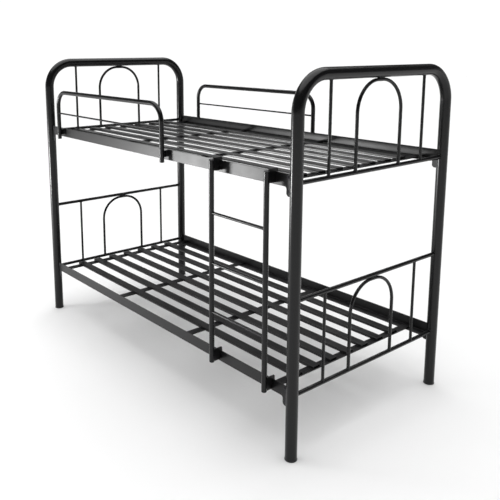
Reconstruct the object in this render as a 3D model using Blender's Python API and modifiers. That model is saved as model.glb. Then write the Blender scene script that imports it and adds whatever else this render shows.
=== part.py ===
"""Bunk bed with ladder: a double-decker of powder-coated steel tube.

Two end frames stand at -X and +X.  Each is one bent hoop with bars, an arch and
spindles welded into it, above and below.  Two decks of lengthwise slats hang
between them on angle-section side rails.  A guard is fixed along each side of the
upper deck, and a ladder hooks over the two front rails.

Origin: on the floor, under the middle of the bed.  +X runs along the bed towards
the ladder's end, -Y is the front, +Z is up.  Sizes are in metres.
"""
import math

import bmesh
import bpy
from mathutils import Matrix

# ------------------------------------------------------------------ driving sizes
TOUCH_GAP = 0.0003          # left between two pieces that touch

# end frames
POST_SPACING_X = 1.980      # post centres along the bed
POST_SPACING_Y = 0.934      # post centres across the bed
POST_D = 0.048
POST_WALL = 0.0015
HOOP_BEND_R = 0.140
BAR_D = 0.0175              # the three crossbars of an end frame
ARCH_D = 0.014
ARCH_SPACING = 0.278        # between an arch's two legs
ARCH_BEND_R = 0.125
SPINDLE_D = 0.0127
SPINDLE_FROM_POST = 0.172
THIN_TUBE_WALL = 0.0012

# heights
LOWER_RAIL_Z = 0.245        # underside of the lower side rails
DECK_SPACING = 0.828        # lower deck to upper deck
BAR_ABOVE_RAIL = 0.0195     # a deck's crossbar, centre, above its rails' underside
LOWER_END_RISE = 0.3795     # lower crossbar to headboard bar, centres
UPPER_END_RISE = 0.389      # upper crossbar to the hoop's top, centres

# side rails: an angle section with a gusset at each end
RAIL_H = 0.049
RAIL_FLANGE = 0.050
RAIL_WALL = 0.003
FLANGE_FROM_POST = 0.030    # the flange stops short of the post's centre line
GUSSET_DROP = 0.036
GUSSET_W = 0.025
GUSSET_FILLET_R = 0.010
GUSSET_ROUND_R = 0.013

# decks: a welded frame of slats that lies in the rails, with some play along the bed
DECK_FROM_LEFT_POSTS = 0.032  # posts' centres to the slats' ends
DECK_FROM_RIGHT_POSTS = 0.106
SLAT_COUNT = 7
SLAT_PITCH = 0.1065
SLAT_W = 0.044
SLAT_H = 0.012
SLAT_WALL = 0.0015
SLAT_FOLD_R = 0.003
BEARER_SPACING = 0.606
DECK_BAR_W = 0.038          # end bars and bearers
DECK_BAR_H = 0.0064
DECK_BAR_EDGE_R = 0.0010

# guards
GUARD_D = 0.022
GUARD_LENGTH = 1.010        # between a guard's two legs
GUARD_FROM_POST = 0.163     # from the left posts to the first leg
GUARD_BEND_R = 0.080
GUARD_STANDOFF = 0.0265     # leg centre to the rail's outer face
GUARD_TOP_ABOVE_RAIL = 0.252
GUARD_LEG_BELOW_RAIL = 0.006
GUARD_TAB_T = 0.006
GUARD_TAB_H = 0.030
GUARD_TAB_ABOVE_RAIL = 0.014
MID_ROD_D = 0.009
MID_ROD_ABOVE_RAIL = 0.135

# ladder
STILE_D = 0.022
LADDER_W = 0.3235           # between the stiles
LADDER_FROM_POST = 0.108    # right post to the right stile
STILE_STANDOFF = 0.0435     # stile centre to the rail's outer face
STILE_BOTTOM_ABOVE_RAIL = 0.011  # above the lower rail's underside
STILE_TOP_ABOVE_RAIL = 0.004  # above the upper rail's top
RUNG_COUNT = 3
RUNG_D = 0.013
RUNG_SPACING = 0.214
FIRST_RUNG_ABOVE_RAIL = 0.235
HOOK_T = 0.006
HOOK_ABOVE_RAIL = 0.013
HOOK_TAIL_ABOVE_RAIL = 0.008  # the tail's end above the rail's underside
HOOK_NOSE_DEPTH = 0.022
HOOK_NOSE_T = 0.008
HOOK_CLEARANCE = 0.001      # on each side of the rail's wall
HOOK_CORNER_R = 0.004

# ------------------------------------------------------------------ places that follow
POST_X = POST_SPACING_X / 2
POST_Y = POST_SPACING_Y / 2
POST_R = POST_D / 2
UPPER_RAIL_Z = LOWER_RAIL_Z + DECK_SPACING
LOWER_BAR_Z = LOWER_RAIL_Z + BAR_ABOVE_RAIL
HEADBOARD_BAR_Z = LOWER_BAR_Z + LOWER_END_RISE
UPPER_BAR_Z = UPPER_RAIL_Z + BAR_ABOVE_RAIL
HOOP_TOP_Z = UPPER_BAR_Z + UPPER_END_RISE
RAIL_FACE_Y = POST_Y + RAIL_WALL / 2
DECK_X = (DECK_FROM_LEFT_POSTS - DECK_FROM_RIGHT_POSTS) / 2
SLAT_LENGTH = POST_SPACING_X - DECK_FROM_LEFT_POSTS - DECK_FROM_RIGHT_POSTS
END_BAR_SPACING = SLAT_LENGTH - DECK_BAR_W

SIDES = {"left": -1, "right": 1}
FLANKS = {"front": -1, "rear": 1}
DECKS = {"lower": LOWER_RAIL_Z, "upper": UPPER_RAIL_Z}

# how finely round things are faceted
POST_FACETS = 8
TUBE_FACETS = 4
ROD_FACETS = 3
BEND_STEPS = 7
CORNER_STEPS = 4            # round corners of plates
FOLD_STEPS = 3              # a slat's folds
SAME_POINT = 0.00001        # points closer than this are one point
CARRIER_SIZE = 0.1          # drawn size of an empty

COAT_BLACK = (0.010, 0.010, 0.011, 1.0)
COAT_ROUGHNESS = 0.24
SLAT_ROUGHNESS = 0.34


# ------------------------------------------------------------------ scene and materials
def clear_scene():
    """Remove every object that is already there."""
    for old in list(bpy.data.objects):
        bpy.data.objects.remove(old, do_unlink=True)


def new_collection(name):
    """Make a collection in the scene."""
    made = bpy.data.collections.new(name)
    bpy.context.scene.collection.children.link(made)
    return made


def powder_coat(name, roughness=COAT_ROUGHNESS):
    """Black gloss powder coat on steel, one material for each piece."""
    coat = bpy.data.materials.new(name + "_coat")
    coat.use_nodes = True
    shader = coat.node_tree.nodes["Principled BSDF"]
    shader.inputs["Base Color"].default_value = COAT_BLACK
    shader.inputs["Roughness"].default_value = roughness
    shader.inputs["Metallic"].default_value = 0.0
    return coat


def place(name, data, group, parent, location=(0, 0, 0), rotation=(0, 0, 0)):
    """Put a mesh or curve in the scene as one named piece."""
    piece = bpy.data.objects.new(name, data)
    group.objects.link(piece)
    piece.parent = parent
    piece.location = location
    piece.rotation_euler = rotation
    return piece


def empty(name, group, location=(0, 0, 0), parent=None):
    """An empty that carries pieces."""
    carrier = place(name, None, group, parent, location)
    carrier.empty_display_size = CARRIER_SIZE
    return carrier


# ------------------------------------------------------------------ shapes
def arc(centre, radius, start, end, steps=BEND_STEPS):
    """Points on an arc in a plane, from one angle to another, in degrees."""
    points = []
    for step in range(steps + 1):
        angle = math.radians(start + (end - start) * step / steps)
        points.append((centre[0] + radius * math.cos(angle), centre[1] + radius * math.sin(angle)))
    return points


def bent_u(span, low, top, radius):
    """The centre line of an upside-down U: two legs joined by a bar with round corners."""
    half = span / 2
    centre_z = top - radius
    left = arc((radius - half, centre_z), radius, 180, 90)
    right = arc((half - radius, centre_z), radius, 90, 0)
    return [(-half, low)] + left + right + [(half, low)]


def tube(name, route, diameter, wall, group, parent, location=(0, 0, 0), facets=TUBE_FACETS):
    """A round tube, open at both ends, along a route of 3D points.  No wall makes a solid rod."""
    curve = bpy.data.curves.new(name, "CURVE")
    curve.dimensions = "3D"
    curve.bevel_depth = diameter / 2
    curve.bevel_resolution = facets
    curve.use_fill_caps = wall is None
    spline = curve.splines.new("POLY")
    spline.points.add(len(route) - 1)
    for point, (x, y, z) in zip(spline.points, route):
        point.co = (x, y, z, 1)
    spline.use_smooth = True
    curve.materials.append(powder_coat(name))
    piece = place(name, curve, group, parent, location)
    if wall is not None:
        shell = piece.modifiers.new("wall", "SOLIDIFY")
        shell.thickness = wall
        shell.offset = -1
        shell.use_even_offset = True
    return piece


def plate(name, outline, thickness, group, parent, location, rotation, roughness=COAT_ROUGHNESS):
    """A flat outline given a thickness, centred on its plane."""
    curve = bpy.data.curves.new(name, "CURVE")
    curve.dimensions = "2D"
    curve.fill_mode = "BOTH"
    curve.extrude = thickness / 2
    spline = curve.splines.new("POLY")
    spline.points.add(len(outline) - 1)
    for point, (u, v) in zip(spline.points, outline):
        point.co = (u, v, 0, 1)
    spline.use_cyclic_u = True
    curve.materials.append(powder_coat(name, roughness))
    return place(name, curve, group, parent, location, rotation)


def box(name, size, centre, group, parent, edge=0.0):
    """A box from a unit cube, with its edges rounded if an edge radius is given."""
    mesh = bpy.data.meshes.new(name)
    shape = bmesh.new()
    bmesh.ops.create_cube(shape, size=1.0, matrix=Matrix.Diagonal((*size, 1.0)))
    shape.to_mesh(mesh)
    shape.free()
    mesh.materials.append(powder_coat(name))
    piece = place(name, mesh, group, parent, centre)
    if edge > 0:
        rounding = piece.modifiers.new("edges", "BEVEL")
        rounding.width = edge
        rounding.segments = 1
    return piece


def as_mesh(piece):
    """Replace a curve object by a mesh object of the same shape, with its caps welded."""
    bpy.context.view_layer.update()
    graph = bpy.context.evaluated_depsgraph_get()
    mesh = bpy.data.meshes.new_from_object(piece.evaluated_get(graph))
    shape = bmesh.new()
    shape.from_mesh(mesh)
    bmesh.ops.remove_doubles(shape, verts=shape.verts, dist=SAME_POINT)
    bmesh.ops.recalc_face_normals(shape, faces=shape.faces)
    shape.to_mesh(mesh)
    shape.free()
    name = piece.name
    group = piece.users_collection[0]
    parent = piece.parent
    world = piece.matrix_world.copy()
    curve = piece.data
    bpy.data.objects.remove(piece)
    bpy.data.curves.remove(curve)
    made = bpy.data.objects.new(name, mesh)
    group.objects.link(made)
    made.parent = parent
    made.matrix_world = world
    return made


def weld_on(piece, other):
    """Join another solid to a mesh piece, as one body."""
    other.hide_render = True
    other.display_type = "WIRE"
    joint = piece.modifiers.new(other.name, "BOOLEAN")
    joint.operation = "UNION"
    joint.solver = "EXACT"
    joint.object = other


# ------------------------------------------------------------------ end frames
def end_hoop(side, group, parent):
    """Both posts and the top of an end frame, bent from one tube."""
    route = [(0, y, z) for y, z in bent_u(POST_SPACING_Y, 0, HOOP_TOP_Z, HOOP_BEND_R)]
    tube(side + "_end_hoop", route, POST_D, POST_WALL, group, parent, facets=POST_FACETS)


def crossbar(name, height, group, parent):
    """A straight bar from post to post."""
    reach = POST_Y - POST_R - TOUCH_GAP
    route = [(0, -reach, height), (0, reach, height)]
    tube(name, route, BAR_D, THIN_TUBE_WALL, group, parent)


def infill(side, level, low, high, group, parent):
    """The arch and the two spindles that fill a panel of the end frame."""
    arch_top = high - ARCH_D / 2
    route = [(0, y, z) for y, z in bent_u(ARCH_SPACING, low, arch_top, ARCH_BEND_R)]
    tube(f"{side}_{level}_arch", route, ARCH_D, THIN_TUBE_WALL, group, parent, facets=ROD_FACETS)
    for flank, sign in FLANKS.items():
        y = sign * (POST_Y - SPINDLE_FROM_POST)
        name = f"{side}_{level}_spindle_{flank}"
        tube(name, [(0, y, low), (0, y, high)], SPINDLE_D, THIN_TUBE_WALL, group, parent, facets=ROD_FACETS)


def end_frame(side, group, bed):
    """One end of the bed: hoop, crossbars and infill, in the plane of its posts."""
    frame = empty(side + "_end_frame", group, (SIDES[side] * POST_X, 0, 0), bed)
    end_hoop(side, group, frame)
    crossbar(side + "_lower_crossbar", LOWER_BAR_Z, group, frame)
    crossbar(side + "_headboard_bar", HEADBOARD_BAR_Z, group, frame)
    crossbar(side + "_upper_crossbar", UPPER_BAR_Z, group, frame)
    clear = BAR_D / 2 + TOUCH_GAP
    infill(side, "lower", LOWER_BAR_Z + clear, HEADBOARD_BAR_Z - clear, group, frame)
    infill(side, "upper", UPPER_BAR_Z + clear, HOOP_TOP_Z - POST_R - TOUCH_GAP, group, frame)


# ------------------------------------------------------------------ decks
def rail_outline():
    """A rail's upright wall seen from the front, with an S-curved gusset below each end."""
    end = POST_X - POST_R - TOUCH_GAP
    inner = end - GUSSET_W
    fillet = arc((inner - GUSSET_FILLET_R, -GUSSET_FILLET_R), GUSSET_FILLET_R, 90, 0, CORNER_STEPS)
    foot_centre = (inner + GUSSET_ROUND_R, GUSSET_ROUND_R - GUSSET_DROP)
    foot = arc(foot_centre, GUSSET_ROUND_R, 180, 270, CORNER_STEPS)
    right = fillet + foot + [(end, -GUSSET_DROP), (end, RAIL_H)]
    return right + [(-x, z) for x, z in reversed(right)]


def side_rail(level, flank, group, cutters, deck):
    """An angle-section rail: an upright wall with gussets and a flange turned inwards."""
    name = f"{level}_{flank}_rail"
    sign = FLANKS[flank]
    wall = plate(name, rail_outline(), RAIL_WALL, group, deck, (0, sign * POST_Y, 0), (math.pi / 2, 0, 0))
    rail = as_mesh(wall)
    length = 2 * (POST_X - FLANGE_FROM_POST)
    centre_y = sign * (RAIL_FACE_Y - RAIL_FLANGE / 2)
    size = (length, RAIL_FLANGE, RAIL_WALL)
    flange = box(name + "_flange", size, (0, centre_y, RAIL_WALL / 2), cutters, deck)
    weld_on(rail, flange)


def slat_outline():
    """A slat's section: a strip folded down along both edges."""
    half = SLAT_W / 2
    left = arc((SLAT_FOLD_R - half, SLAT_H - SLAT_FOLD_R), SLAT_FOLD_R, 180, 90, FOLD_STEPS)
    right = arc((half - SLAT_FOLD_R, SLAT_H - SLAT_FOLD_R), SLAT_FOLD_R, 90, 0, FOLD_STEPS)
    inner = half - SLAT_WALL
    under = SLAT_H - SLAT_WALL
    hollow = [(inner, 0), (inner, under), (-inner, under), (-inner, 0)]
    return [(-half, 0)] + left + right + [(half, 0)] + hollow


def slats(level, bottom, group, deck):
    """The lengthwise slats, evenly spaced across the deck."""
    for index in range(SLAT_COUNT):
        y = (index - (SLAT_COUNT - 1) / 2) * SLAT_PITCH
        name = f"{level}_slat_{index + 1}"
        turn = (math.pi / 2, 0, math.pi / 2)
        middle = (DECK_X, y, bottom)
        plate(name, slat_outline(), SLAT_LENGTH, group, deck, middle, turn, SLAT_ROUGHNESS)


def deck_bars(level, bottom, group, deck):
    """The bars across the deck, on the rails' flanges: one at each end and two between."""
    size = (DECK_BAR_W, POST_SPACING_Y - RAIL_WALL - 2 * TOUCH_GAP, DECK_BAR_H)
    height = bottom + DECK_BAR_H / 2
    for kind, spacing in {"end_bar": END_BAR_SPACING, "cross_bearer": BEARER_SPACING}.items():
        for side, sign in SIDES.items():
            centre = (DECK_X + sign * spacing / 2, 0, height)
            box(f"{level}_{kind}_{side}", size, centre, group, deck, DECK_BAR_EDGE_R)


def bed_deck(level, group, cutters, bed):
    """One sleeping deck, measured up from its rails' underside."""
    deck = empty(level + "_deck", group, (0, 0, DECKS[level]), bed)
    for flank in FLANKS:
        side_rail(level, flank, group, cutters, deck)
    bars_bottom = RAIL_WALL + TOUCH_GAP
    deck_bars(level, bars_bottom, group, deck)
    slats(level, bars_bottom + DECK_BAR_H + TOUCH_GAP, group, deck)


# ------------------------------------------------------------------ guards
def guard(flank, group, cutters, bed):
    """A guard: a bent tube with a thin rod across it, and a tab at each leg to the rail."""
    sign = FLANKS[flank]
    centre_x = GUARD_FROM_POST + GUARD_LENGTH / 2 - POST_X
    leg_y = sign * (RAIL_FACE_Y + GUARD_STANDOFF)
    base = empty(flank + "_guard", group, (centre_x, leg_y, UPPER_RAIL_Z), bed)
    outline = bent_u(GUARD_LENGTH, -GUARD_LEG_BELOW_RAIL, GUARD_TOP_ABOVE_RAIL, GUARD_BEND_R)
    route = [(x, 0, z) for x, z in outline]
    rail = as_mesh(tube(flank + "_guard_rail", route, GUARD_D, THIN_TUBE_WALL, group, base))
    near = GUARD_D / 2 - THIN_TUBE_WALL / 2
    far = GUARD_STANDOFF - TOUCH_GAP
    tab_size = (GUARD_TAB_T, far - near, GUARD_TAB_H)
    tab_z = GUARD_TAB_ABOVE_RAIL + GUARD_TAB_H / 2
    for side, way in SIDES.items():
        centre = (way * GUARD_LENGTH / 2, -sign * (far + near) / 2, tab_z)
        weld_on(rail, box(f"{flank}_guard_tab_{side}", tab_size, centre, cutters, base))
    reach = GUARD_LENGTH / 2 - GUARD_D / 2 - TOUCH_GAP
    rod = [(-reach, 0, MID_ROD_ABOVE_RAIL), (reach, 0, MID_ROD_ABOVE_RAIL)]
    tube(flank + "_guard_mid_rod", rod, MID_ROD_D, None, group, base, facets=ROD_FACETS)


# ------------------------------------------------------------------ ladder
def hook_outline():
    """A hook plate seen along the bed: u runs outwards from the rail, v up from its top."""
    back = RAIL_WALL / 2 + STILE_STANDOFF - STILE_D / 2 - TOUCH_GAP
    slot = RAIL_WALL / 2 + HOOK_CLEARANCE
    nose = slot + HOOK_NOSE_T
    tail = HOOK_TAIL_ABOVE_RAIL - RAIL_H
    corner = HOOK_CORNER_R
    top = arc((corner - nose, HOOK_ABOVE_RAIL - corner), corner, 180, 90, CORNER_STEPS)
    tip = arc((corner - nose, corner - HOOK_NOSE_DEPTH), corner, 270, 180, CORNER_STEPS)
    slot_edge = [(slot, tail), (slot, TOUCH_GAP), (-slot, TOUCH_GAP), (-slot, -HOOK_NOSE_DEPTH)]
    return slot_edge + tip + top + [(back, HOOK_ABOVE_RAIL), (back, tail)]


def ladder(group, bed):
    """The ladder: two stiles, the rungs between them and a hook plate behind each stile end.

    Its carrier lies on the line that the ladder lifts along.
    """
    middle_x = POST_X - LADDER_FROM_POST - LADDER_W / 2
    stile_y = -(RAIL_FACE_Y + STILE_STANDOFF)
    carrier = empty("ladder", group, (middle_x, stile_y, LOWER_RAIL_Z), bed)
    top = DECK_SPACING + RAIL_H + STILE_TOP_ABOVE_RAIL
    for side, way in SIDES.items():
        x = way * LADDER_W / 2
        route = [(0, 0, STILE_BOTTOM_ABOVE_RAIL), (0, 0, top)]
        tube("ladder_stile_" + side, route, STILE_D, THIN_TUBE_WALL, group, carrier, (x, 0, 0))
        for level, height in DECKS.items():
            place_z = height - LOWER_RAIL_Z + RAIL_H
            place_y = RAIL_WALL / 2 + STILE_STANDOFF
            turn = (math.pi / 2, 0, -math.pi / 2)
            name = f"ladder_hook_{level}_{side}"
            plate(name, hook_outline(), HOOK_T, group, carrier, (x, place_y, place_z), turn)
    reach = LADDER_W / 2 - STILE_D / 2 - TOUCH_GAP
    for index in range(RUNG_COUNT):
        height = FIRST_RUNG_ABOVE_RAIL + index * RUNG_SPACING
        route = [(-reach, 0, height), (reach, 0, height)]
        tube(f"ladder_rung_{index + 1}", route, RUNG_D, THIN_TUBE_WALL, group, carrier)


def main():
    """Build the bed."""
    clear_scene()
    group = new_collection("bunk_bed_with_ladder")
    cutters = new_collection("weld_shapes")
    bed = empty("bunk_bed", group)
    for side in SIDES:
        end_frame(side, group, bed)
    for level in DECKS:
        bed_deck(level, group, cutters, bed)
    for flank in FLANKS:
        guard(flank, group, cutters, bed)
    ladder(group, bed)


main()
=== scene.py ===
"""Bunk bed with ladder: its finished look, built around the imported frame."""
import math

import bmesh
import bpy
import numpy as np
from bpy.props import FloatProperty, FloatVectorProperty, IntProperty, PointerProperty
from bpy.types import Operator, Panel, PropertyGroup
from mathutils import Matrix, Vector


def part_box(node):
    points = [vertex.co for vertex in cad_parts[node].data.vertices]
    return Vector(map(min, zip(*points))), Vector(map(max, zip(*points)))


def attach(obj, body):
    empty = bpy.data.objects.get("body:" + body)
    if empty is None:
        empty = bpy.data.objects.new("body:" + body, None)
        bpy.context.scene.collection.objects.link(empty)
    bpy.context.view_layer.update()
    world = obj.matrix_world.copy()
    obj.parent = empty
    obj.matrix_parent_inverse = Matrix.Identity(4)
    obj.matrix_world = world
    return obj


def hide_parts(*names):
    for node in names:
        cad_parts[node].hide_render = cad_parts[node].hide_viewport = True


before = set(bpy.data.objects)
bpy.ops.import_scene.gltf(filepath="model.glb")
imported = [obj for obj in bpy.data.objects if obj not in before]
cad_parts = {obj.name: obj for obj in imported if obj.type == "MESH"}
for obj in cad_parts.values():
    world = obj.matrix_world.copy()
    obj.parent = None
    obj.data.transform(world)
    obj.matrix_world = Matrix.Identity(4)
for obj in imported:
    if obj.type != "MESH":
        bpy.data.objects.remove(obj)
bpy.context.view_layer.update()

bl_info = {
    "name": "Bunk Bed With Ladder",
    "version": (1, 0, 0),
    "blender": (4, 5, 0),
    "location": "3D View > Sidebar > Bunk Bed",
    "description": "Builds a powder-coated steel bunk bed piece by piece around its frame",
    "category": "Object",
}

SIDES = {"left": -1, "right": 1}
FLANKS = {"front": -1, "rear": 1}
LEVELS = ("lower", "upper")
X_AXIS = np.array((1.0, 0.0, 0.0))
Y_AXIS = np.array((0.0, 1.0, 0.0))
Z_AXIS = np.array((0.0, 0.0, 1.0))
OFF_AXIS = np.array((0.36, 0.48, 0.80))     # a direction that no tube or seam runs along

MERGE_DISTANCE = 0.000002
CREASE = math.radians(32)       # edges sharper than this stay crisp
FEWEST_SIDES = 20               # of the thinnest tubes
FULL_SIDES_RADIUS = 0.016       # tubes at least this thick have all their sides
CUT_ROUND = 0.0008              # corners of cut strip
LEG_LIFT = 0.0001               # keeps the undersides of a rail's two legs out of one plane
RING_STROKE = 0.0028            # length of a stroke of the torch round a tube
LINE_STROKE = 0.0030            # and along a seam
SEAM_STANDOFF = 0.0004          # a bead's line to the face beside it


# ------------------------------------------------------------------ settings
def length(name, description, default):
    """A length setting, in metres."""
    return FloatProperty(name=name, description=description, default=default, min=0.0, unit="LENGTH",
                         precision=4)


def share(name, description, default):
    """A setting from none to all."""
    return FloatProperty(name=name, description=description, default=default, min=0.0, max=1.0,
                         subtype="FACTOR")


def colour(name, description, default):
    """A colour setting."""
    return FloatVectorProperty(name=name, description=description, default=default, size=3, subtype="COLOR")


def point(name, description, default):
    """A place, in metres."""
    return FloatVectorProperty(name=name, description=description, default=default, size=3,
                               subtype="TRANSLATION")


class BedShape(PropertyGroup):
    """Sizes that the frame's boxes don't give."""

    hoop_bend: length("Hoop bend", "Centre-line radius of an end hoop's corners", 0.140)
    arch_bend: length("Arch bend", "Centre-line radius of an arch's corners", 0.125)
    guard_bend: length("Guard bend", "Centre-line radius of a guard's corners", 0.080)
    tube_bite: length("Tube bite", "How far a tube runs into the one it is welded to", 0.004)
    weld_size: length("Weld size", "Radius of a weld bead", 0.0021)
    edge_round: length("Edge rounding", "Rounding of cut plate edges", 0.0007)
    rail_wall: length("Rail wall", "Thickness of the angle section", 0.003)
    rail_height: length("Rail height", "Height of the angle's upright leg", 0.049)
    rail_root: length("Rail root", "Radius inside the angle's corner", 0.004)
    flange_toe: length("Flange toe", "Rounding of the flange's inner edge", 0.0012)
    flange_from_post: length("Flange stop", "Flange's end to the post's centre line", 0.030)
    gusset_width: length("Gusset width", "Width of the plate below a rail's end", 0.025)
    gusset_fillet: length("Gusset fillet", "Radius where a gusset leaves the rail", 0.010)
    gusset_round: length("Gusset corner", "Radius of a gusset's lower corner", 0.013)
    slat_fold: length("Slat fold", "Outer radius of a slat's folded edges", 0.003)
    slat_wall: length("Slat wall", "Thickness of a slat's strip", 0.0015)
    slat_wave: length("Slat waviness", "How far a slat's face strays from flat", 0.00035)
    tab_height: length("Tab height", "Height of a guard's tab", 0.030)
    tab_wall: length("Tab thickness", "Thickness of a guard's tab", 0.006)
    tab_rise: length("Tab rise", "Middle of a tab above the rail's underside", 0.029)
    plug_height: length("Plug height", "Height of the plastic foot under a post", 0.005)
    plug_overhang: length("Plug overhang", "How far a foot's rim stands out past the post", 0.0012)
    plug_round: length("Plug rounding", "Rounding of a foot's lower edge", 0.0016)
    plug_brow: length("Plug brow", "Rounding of a foot's upper edge", 0.0010)
    cap_height: length("Cap height", "Height of the plastic cap in a tube's end", 0.005)
    cap_rim: length("Cap rim", "Radius of the bead round a cap", 0.0008)
    cap_stem: length("Cap stem", "How far a cap sits in its tube", 0.001)
    bolt_head: length("Bolt head", "Radius of a bolt's head", 0.0068)
    bolt_dome: length("Bolt dome", "Radius of the dome on a bolt's head", 0.0095)
    bolt_socket: length("Bolt socket", "Half the width across a bolt's socket", 0.0022)
    socket_depth: length("Socket depth", "Depth of a bolt's socket", 0.0016)
    washer_overhang: length("Washer overhang", "How far a washer stands out past the bolt's head", 0.0024)
    washer_wall: length("Washer thickness", "Thickness of a washer", 0.0013)
    washer_edge: length("Washer edge", "Bevel of a washer's edge", 0.0003)
    upper_bolt: length("Upper bolt", "Upper bolt's distance below the rail's top", 0.012)
    lower_bolt: length("Lower bolt", "Lower bolt's distance below the rail's underside", 0.016)
    hook_corner: length("Hook corner", "Radius of a hook's outer corners", 0.004)
    hook_nose: length("Hook nose", "Depth of a hook's nose behind the rail", 0.022)
    hook_nose_wall: length("Hook nose wall", "Thickness of a hook's nose", 0.008)
    hook_play: length("Hook play", "Clearance on each side of the rail in a hook", 0.001)
    touch_gap: length("Touch gap", "Gap between pieces that touch", 0.0003)
    tube_sides: IntProperty(name="Tube sides", description="Sides of a round tube", default=40, min=12,
                            max=96)
    bend_steps: IntProperty(name="Bend steps", description="Rings along a bend", default=28, min=6, max=96)


class BedCoat(PropertyGroup):
    """Colour and finish of the powder coat and the trim."""

    coat: colour("Coat", "Colour of the powder coat", (0.0042, 0.0042, 0.0046))
    dust: colour("Dust", "Colour of the fine dust that settles on it", (0.050, 0.050, 0.052))
    plastic: colour("Plastic", "Colour of plugs and caps", (0.010, 0.010, 0.011))
    bolt: colour("Bolt", "Colour of the blackened bolts", (0.030, 0.030, 0.033))
    gloss: share("Tube roughness", "Roughness of the glossy tubes", 0.22)
    rolled: share("Plate roughness", "Roughness of rolled angle and cut plate", 0.36)
    satin: share("Slat roughness", "Roughness of the slats", 0.30)
    peel: share("Orange peel", "Strength of the coat's orange-peel texture", 0.16)
    dustiness: share("Dustiness", "How much dust lies on level faces", 0.22)
    shine: share("Shine", "Specular level of the coat", 0.32)


class StudioSetup(PropertyGroup):
    """Floor, lights and camera."""

    floor: colour("Floor", "Colour of the floor", (0.88, 0.88, 0.88))
    floor_size: length("Floor size", "Side of the floor", 60.0)
    backdrop: FloatProperty(name="Backdrop", description="Brightness of the low white backdrop", default=1.05)
    shade: FloatProperty(name="Shade", description="Brightness of the rest of the room", default=0.09)
    sun: FloatProperty(name="Overhead", description="Strength of the wide overhead light", default=3.5)
    spread: FloatProperty(name="Spread", description="Width of the overhead light", default=math.radians(90),
                          subtype="ANGLE")
    side: FloatProperty(name="Side", description="Power of the low softbox at the front left", default=75.0,
                        unit="POWER")
    overhead_place: point("Overhead place", "Place of the overhead light", (0.0, 0.0, 4.0))
    overhead_aim: point("Overhead aim", "Point that the overhead light faces", (0.35, -0.25, 0.0))
    softbox_size: FloatVectorProperty(name="Softbox size", description="Width and height of the softbox",
                                      size=2, default=(0.8, 0.5))
    softbox_place: point("Softbox place", "Place of the softbox", (-2.35, -2.91, 0.41))
    softbox_aim: point("Softbox aim", "Point that the softbox faces", (0.55, -0.47, 1.10))
    lens: FloatProperty(name="Lens", description="Focal length", default=47.71, unit="CAMERA")
    shift: FloatVectorProperty(name="Shift", description="Shift of the camera's view, across and up",
                               size=2, default=(0.0594, -0.17))
    eye: point("Eye", "Place of the camera", (2.6107, -2.1638, 1.5801))
    tilt: FloatProperty(name="Tilt", description="Camera's tilt", default=math.radians(79.795),
                        subtype="ANGLE")
    turn: FloatProperty(name="Turn", description="Camera's turn", default=math.radians(50.386),
                        subtype="ANGLE")


def shape():
    """The sizes in use."""
    return bpy.context.scene.bed_shape


# ------------------------------------------------------------------ shader expressions
class Signal:
    """A node's output that takes part in arithmetic; an expression adds the Math nodes it needs."""

    def __init__(self, net, socket):
        self.net = net
        self.socket = socket

    def math(self, operation, first, second):
        """One Math node on two values or links."""
        return self.net.out("ShaderNodeMath", {"operation": operation}, {0: first, 1: second})

    def __add__(self, other):
        return self.math("ADD", self, other)

    def __radd__(self, other):
        return self.math("ADD", other, self)

    def __sub__(self, other):
        return self.math("SUBTRACT", self, other)

    def __rsub__(self, other):
        return self.math("SUBTRACT", other, self)

    def __mul__(self, other):
        return self.math("MULTIPLY", self, other)

    def __rmul__(self, other):
        return self.math("MULTIPLY", other, self)

    def between(self, low, high):
        """Smoothly 0 below low and 1 above high."""
        sockets = {"Value": self, "From Min": low, "From Max": high}
        return self.net.out("ShaderNodeMapRange", {"interpolation_type": "SMOOTHSTEP"}, sockets)


class Net:
    """The node tree of a material or world, with one method that adds any node."""

    def __init__(self, owner):
        owner.use_nodes = True
        self.owner = owner
        self.tree = owner.node_tree

    def node(self, kind, settings=None, inputs=None):
        """Add a node: its settings are set first, then the values or links of its sockets."""
        made = self.tree.nodes.new(kind)
        for name, value in (settings or {}).items():
            setattr(made, name, value)
        for key, value in (inputs or {}).items():
            self.feed(made.inputs[key], value)
        return made

    def out(self, kind, settings=None, inputs=None, output=0):
        """Add a node and return one of its outputs as a signal."""
        return Signal(self, self.node(kind, settings, inputs).outputs[output])

    def feed(self, socket, value):
        """Give a socket a value, or a link."""
        if isinstance(value, Signal):
            self.tree.links.new(value.socket, socket)
        else:
            socket.default_value = value

    def place(self, scale):
        """Object coordinates, scaled along each axis."""
        where = self.out("ShaderNodeTexCoord", output="Object")
        return self.out("ShaderNodeVectorMath", {"operation": "MULTIPLY"}, {0: where, 1: scale})

    def noise(self, scale, detail=2.0, roughness=0.5, stretch=(1.0, 1.0, 1.0)):
        """A noise from 0 to 1 on object coordinates."""
        sockets = {"Vector": self.place(stretch), "Scale": scale, "Detail": detail, "Roughness": roughness}
        return self.out("ShaderNodeTexNoise", None, sockets)

    def mix(self, factor, first, second):
        """Blend two colours."""
        settings = {"data_type": "RGBA"}
        return self.out("ShaderNodeMix", settings, {0: factor, 6: first, 7: second}, output=2)

    def upward(self):
        """1 on faces that look up and 0 on upright ones."""
        normal = self.out("ShaderNodeNewGeometry", output="Normal")
        return self.out("ShaderNodeSeparateXYZ", None, {0: normal}, output=2).between(0.55, 0.98)

    def bump(self, height, strength, distance, below=None):
        """A bump on the surface, or on another bump."""
        sockets = {"Height": height, "Strength": strength, "Distance": distance}
        if below is not None:
            sockets["Normal"] = below
        return self.out("ShaderNodeBump", None, sockets)

    def finish(self, **sockets):
        """Set the shader's own sockets, with _ for a space in a name, and return the material."""
        shader = self.tree.nodes["Principled BSDF"]
        for name, value in sockets.items():
            self.feed(shader.inputs[name.replace("_", " ")], value)
        return self.owner


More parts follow.
